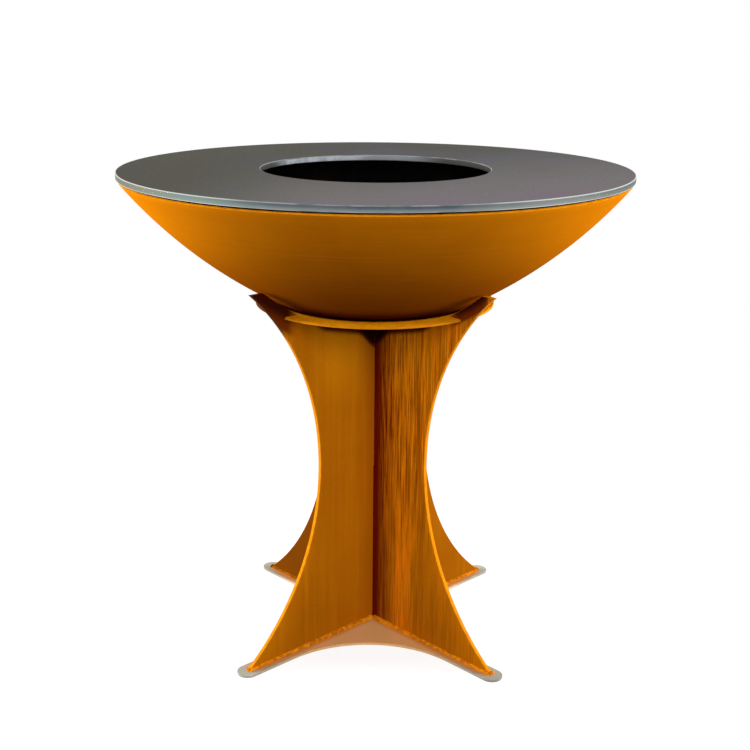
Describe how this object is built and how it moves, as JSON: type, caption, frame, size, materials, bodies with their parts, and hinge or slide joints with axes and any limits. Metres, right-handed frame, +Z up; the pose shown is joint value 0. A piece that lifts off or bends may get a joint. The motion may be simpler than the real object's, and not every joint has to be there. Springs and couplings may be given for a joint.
{
  "type": "fire pit with cooking plate and grate",
  "caption": "Round fire bowl of rusted weathering steel on a waisted cross-shaped pedestal, with a flat ring-shaped cooking plate and a fire grate inside.",
  "frame": {"origin": "centre of the base plate's underside, on the ground, on the axis of the bowl", "axes": "+Z up along the axis of the bowl; the four pedestal arms lie on the diagonals between X and Y; the picture looks along +Y"},
  "size_m": [0.9999, 1, 0.9731],
  "materials": {
    "weathering_steel": "rusted weathering steel with a dull orange-brown patina",
    "weld_metal": "rusted weld bead, brighter orange than the panels",
    "plate_steel": "hot-rolled steel, oiled and burnt in, dull grey",
    "base_steel": "bare pale steel, dull",
    "grate_steel": "black scaled steel, sooty"
  },
  "bodies": {
    "pedestal": {"base_plate": "base_steel", "bowl_support_disc": "weathering_steel", "foot_weld_1": "weld_metal", "foot_weld_2": "weld_metal", "foot_weld_3": "weld_metal", "foot_weld_4": "weld_metal", "pedestal_panel_1": "weathering_steel", "pedestal_panel_2": "weathering_steel"},
    "bowl": {"fire_bowl": "weathering_steel"},
    "plate": {"cooking_plate": "plate_steel", "plate_spacer_1": "plate_steel", "plate_spacer_2": "plate_steel", "plate_spacer_3": "plate_steel", "plate_spacer_4": "plate_steel"},
    "grate": {"grate_bar_01": "grate_steel", "grate_bar_02": "grate_steel", "grate_bar_03": "grate_steel", "grate_bar_04": "grate_steel", "grate_bar_05": "grate_steel", "grate_bar_06": "grate_steel", "grate_bar_07": "grate_steel", "grate_bar_08": "grate_steel", "grate_bar_09": "grate_steel", "grate_bar_10": "grate_steel", "grate_bar_11": "grate_steel", "grate_cross_bar_1": "grate_steel", "grate_cross_bar_2": "grate_steel", "grate_leg_1": "grate_steel", "grate_leg_2": "grate_steel", "grate_leg_3": "grate_steel", "grate_leg_4": "grate_steel", "grate_ring": "grate_steel"}
  },
  "joints": [
    {"name": "bowl_lift", "type": "slide", "parent": "pedestal", "child": "bowl", "axis": [0, 0, 1], "range_m": [0, 0.12]},
    {"name": "plate_lift", "type": "slide", "parent": "bowl", "child": "plate", "axis": [0, 0, 1], "range_m": [0, 0.15]},
    {"name": "grate_lift", "type": "slide", "parent": "bowl", "child": "grate", "axis": [0, 0, 1], "range_m": [0, 0.3]}
  ]
}
